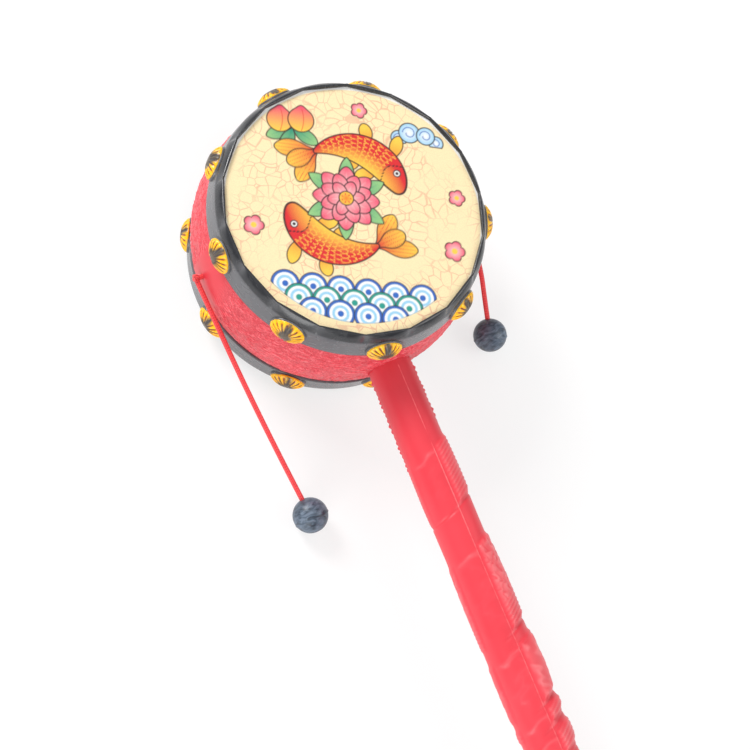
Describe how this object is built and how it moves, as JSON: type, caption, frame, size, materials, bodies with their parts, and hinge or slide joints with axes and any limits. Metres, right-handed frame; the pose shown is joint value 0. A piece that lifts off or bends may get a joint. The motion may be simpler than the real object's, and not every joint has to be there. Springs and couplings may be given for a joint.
{
  "type": "pellet drum rattle",
  "caption": "Hand-held pellet drum: a short barrel between two studded hoops with printed skins, a straight handle, and a pellet on a cord at each side that swings onto the skins.",
  "frame": {"origin": "on the drum's axis, in the plane of the rear hoop's crest, which the drum lies on", "axes": "+Z along the drum's axis towards the front skin, -Y along the handle, X across the two cord holes"},
  "size_m": [0.106, 0.2762, 0.052],
  "materials": {
    "red_plastic": "glossy moulded plastic",
    "black_plastic": "glossy black moulded plastic",
    "printed_skin": "white plastic sheet with a coloured print",
    "gold_plastic": "gold paint over moulded plastic, worn dark at the tops",
    "red_cord": "braided red cord",
    "blue_plastic": "streaky blue-black moulded plastic"
  },
  "bodies": {
    "drum": {"drum_barrel": "red_plastic", "front_hoop": "black_plastic", "rear_hoop": "black_plastic", "front_skin": "printed_skin", "rear_skin": "printed_skin", "front_studs": "gold_plastic", "rear_studs": "gold_plastic", "handle_left": "red_plastic", "handle_right": "red_plastic", "inner_cord": "red_cord"},
    "left_turn": {"left_hole_knot": "red_cord"},
    "left_lead": {"left_cord_lead": "red_cord"},
    "left_strike": {"left_cord_fall": "red_cord", "left_pellet": "blue_plastic", "left_end_knot": "red_cord"},
    "right_turn": {"right_hole_knot": "red_cord"},
    "right_lead": {"right_cord_lead": "red_cord"},
    "right_strike": {"right_cord_fall": "red_cord", "right_pellet": "blue_plastic", "right_end_knot": "red_cord"}
  },
  "joints": [
    {"name": "left_swing", "type": "hinge", "parent": "drum", "child": "left_turn", "pos_m": [-0.0505, 0, 0.026], "axis": [0, 0, -1], "range_deg": [0, 98.6]},
    {"name": "left_lift", "type": "hinge", "parent": "left_turn", "child": "left_lead", "pos_m": [-0.0505, 0, 0.026], "axis": [-0.9887, -0.15, 0], "range_deg": [-80, 92.6]},
    {"name": "left_fold", "type": "hinge", "parent": "left_lead", "child": "left_strike", "pos_m": [-0.047, -0.0265, 0.019], "axis": [-0.9887, -0.15, 0], "range_deg": [-83.2, 96.3]},
    {"name": "right_swing", "type": "hinge", "parent": "drum", "child": "right_turn", "pos_m": [0.0505, 0, 0.026], "axis": [0, 0, 1], "range_deg": [0, 92.7]},
    {"name": "right_lift", "type": "hinge", "parent": "right_turn", "child": "right_lead", "pos_m": [0.0505, 0, 0.026], "axis": [-0.9989, 0.0475, 0], "range_deg": [-70, 106.6]},
    {"name": "right_fold", "type": "hinge", "parent": "right_lead", "child": "right_strike", "pos_m": [0.0505, -0.025, 0.0145], "axis": [-0.9989, 0.0475, 0], "range_deg": [-56.7, 86.35]}
  ]
}
